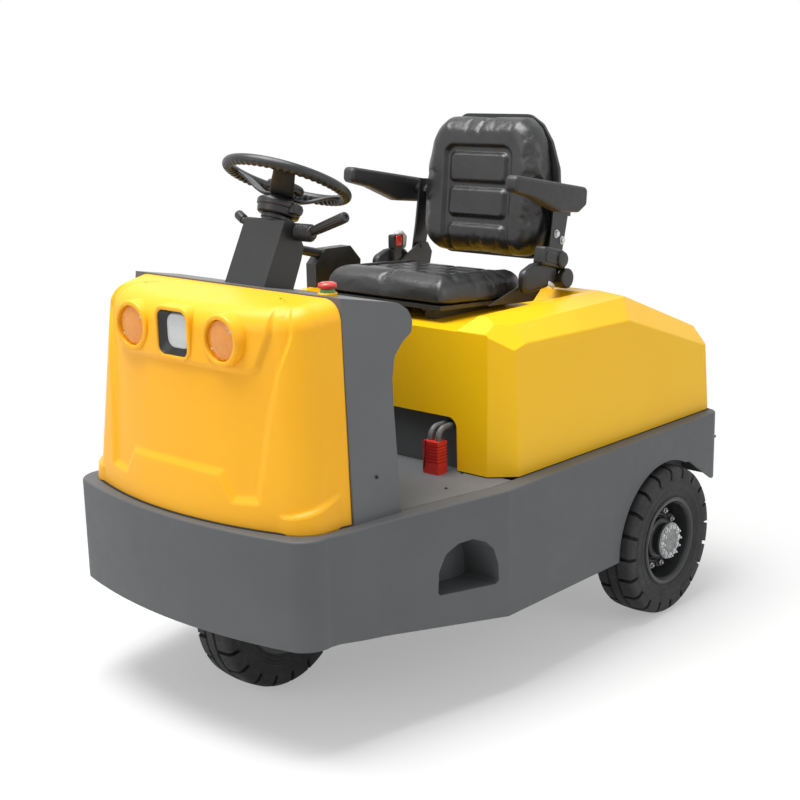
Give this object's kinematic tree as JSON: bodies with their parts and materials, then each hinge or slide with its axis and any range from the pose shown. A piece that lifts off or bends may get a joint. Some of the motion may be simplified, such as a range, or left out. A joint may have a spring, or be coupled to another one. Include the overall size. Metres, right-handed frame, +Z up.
{
  "type": "electric tow tractor",
  "caption": "Ride-on three-wheeled electric tow tractor with a moulded front cowl, tilting rear hood that carries the seat, one steered front wheel and a rear pin hitch.",
  "frame": {"origin": "on the floor, at the centre of the vehicle's bounding box", "axes": "-Y is forward, +X is the driver's left, +Z is up"},
  "size_m": [1.055, 1.6898, 1.358],
  "materials": {
    "chassis_grey": "satin",
    "floor_grey": "matt, fine texture",
    "cover_yellow": "gloss",
    "dash_grey": "satin",
    "moulded_black": "fine grain",
    "seat_vinyl": "smooth vinyl",
    "seal_rubber": "matt",
    "tyre_rubber": "matt",
    "black_steel": "satin",
    "plain_steel": "worn",
    "cast_steel": "rough",
    "battery_case": "matt",
    "plug_red": "satin",
    "lead_grey": "satin",
    "lamp_amber": "moulded lens",
    "lamp_clear": "moulded lens",
    "button_red": "satin"
  },
  "bodies": {
    "chassis": {"chassis": "chassis_grey", "floor_plate": "floor_grey", "front_cowl": "cover_yellow", "headlamp": "lamp_clear", "turn_lamp_left": "lamp_amber", "turn_lamp_right": "lamp_amber", "dash_tower": "dash_grey", "steering_column": "moulded_black", "direction_lever": "moulded_black", "signal_stalk": "moulded_black", "stop_button": "button_red", "accelerator_pedal": "black_steel", "brake_pedal": "black_steel", "battery": "battery_case", "battery_plug": "plug_red", "battery_cables": "lead_grey", "rear_axle": "cast_steel", "drive_motor": "cast_steel", "hitch_bracket": "black_steel", "steer_bearing": "plain_steel", "hood_seal": "seal_rubber", "hood_hinge_base": "black_steel"},
    "tow_pin": {"tow_pin": "plain_steel"},
    "steer_fork": {"steer_fork": "black_steel", "front_axle_pin": "plain_steel"},
    "front_wheel": {"front_tyre": "tyre_rubber", "front_rim": "black_steel"},
    "rear_wheel_left": {"rear_tyre_left": "tyre_rubber", "rear_rim_left": "black_steel"},
    "rear_wheel_right": {"rear_tyre_right": "tyre_rubber", "rear_rim_right": "black_steel"},
    "steering_wheel": {"steering_wheel": "moulded_black"},
    "hood": {"rear_hood": "cover_yellow", "hood_hinge_leaf": "black_steel", "seat_rails": "black_steel", "hand_brake": "moulded_black"},
    "seat": {"seat_pan": "black_steel", "seat_cushion": "seat_vinyl", "belt_retractor": "moulded_black", "belt_buckle": "moulded_black"},
    "seat_back": {"seat_back": "seat_vinyl", "back_shell": "moulded_black", "back_frame": "black_steel"},
    "armrest_left": {"armrest_left": "seat_vinyl"},
    "armrest_right": {"armrest_right": "seat_vinyl"}
  },
  "joints": [
    {"name": "steer", "type": "hinge", "parent": "chassis", "child": "steer_fork", "pos_m": [0, -0.524, 0.2075], "axis": [0, 0, 1], "range_deg": [-75, 75]},
    {"name": "front_wheel_spin", "type": "hinge", "parent": "steer_fork", "child": "front_wheel", "pos_m": [0, -0.524, 0.2075], "axis": [1, 0, 0], "continuous": true},
    {"name": "rear_wheel_left_spin", "type": "hinge", "parent": "chassis", "child": "rear_wheel_left", "pos_m": [0.47, 0.474, 0.2075], "axis": [1, 0, 0], "continuous": true},
    {"name": "rear_wheel_right_spin", "type": "hinge", "parent": "chassis", "child": "rear_wheel_right", "pos_m": [-0.47, 0.474, 0.2075], "axis": [1, 0, 0], "continuous": true},
    {"name": "steering_wheel_turn", "type": "hinge", "parent": "chassis", "child": "steering_wheel", "pos_m": [0, -0.425, 1.222], "axis": [0, 0.4067, 0.9135], "range_deg": [-600, 600]},
    {"name": "tow_pin_lift", "type": "slide", "parent": "chassis", "child": "tow_pin", "axis": [0, 0, 1], "range_m": [0, 0.13]},
    {"name": "hood_open", "type": "hinge", "parent": "chassis", "child": "hood", "pos_m": [0, 0.762, 0.536], "axis": [-1, 0, 0], "range_deg": [0, 50]},
    {"name": "seat_slide", "type": "slide", "parent": "hood", "child": "seat", "axis": [0, 0.9981, -0.061], "range_m": [-0.06, 0.06]},
    {"name": "back_recline", "type": "hinge", "parent": "seat", "child": "seat_back", "pos_m": [0, 0.318, 0.985], "axis": [-1, 0, 0], "range_deg": [0, 20]},
    {"name": "armrest_left_fold", "type": "hinge", "parent": "seat_back", "child": "armrest_left", "pos_m": [0.263, 0.352, 1.142], "axis": [-1, 0, 0], "range_deg": [0, 85]},
    {"name": "armrest_right_fold", "type": "hinge", "parent": "seat_back", "child": "armrest_right", "pos_m": [-0.263, 0.352, 1.142], "axis": [-1, 0, 0], "range_deg": [0, 85]}
  ],
  "couplings": [
    {"joint": "steering_wheel_turn", "follows": "steer", "ratio": 7.2}
  ]
}
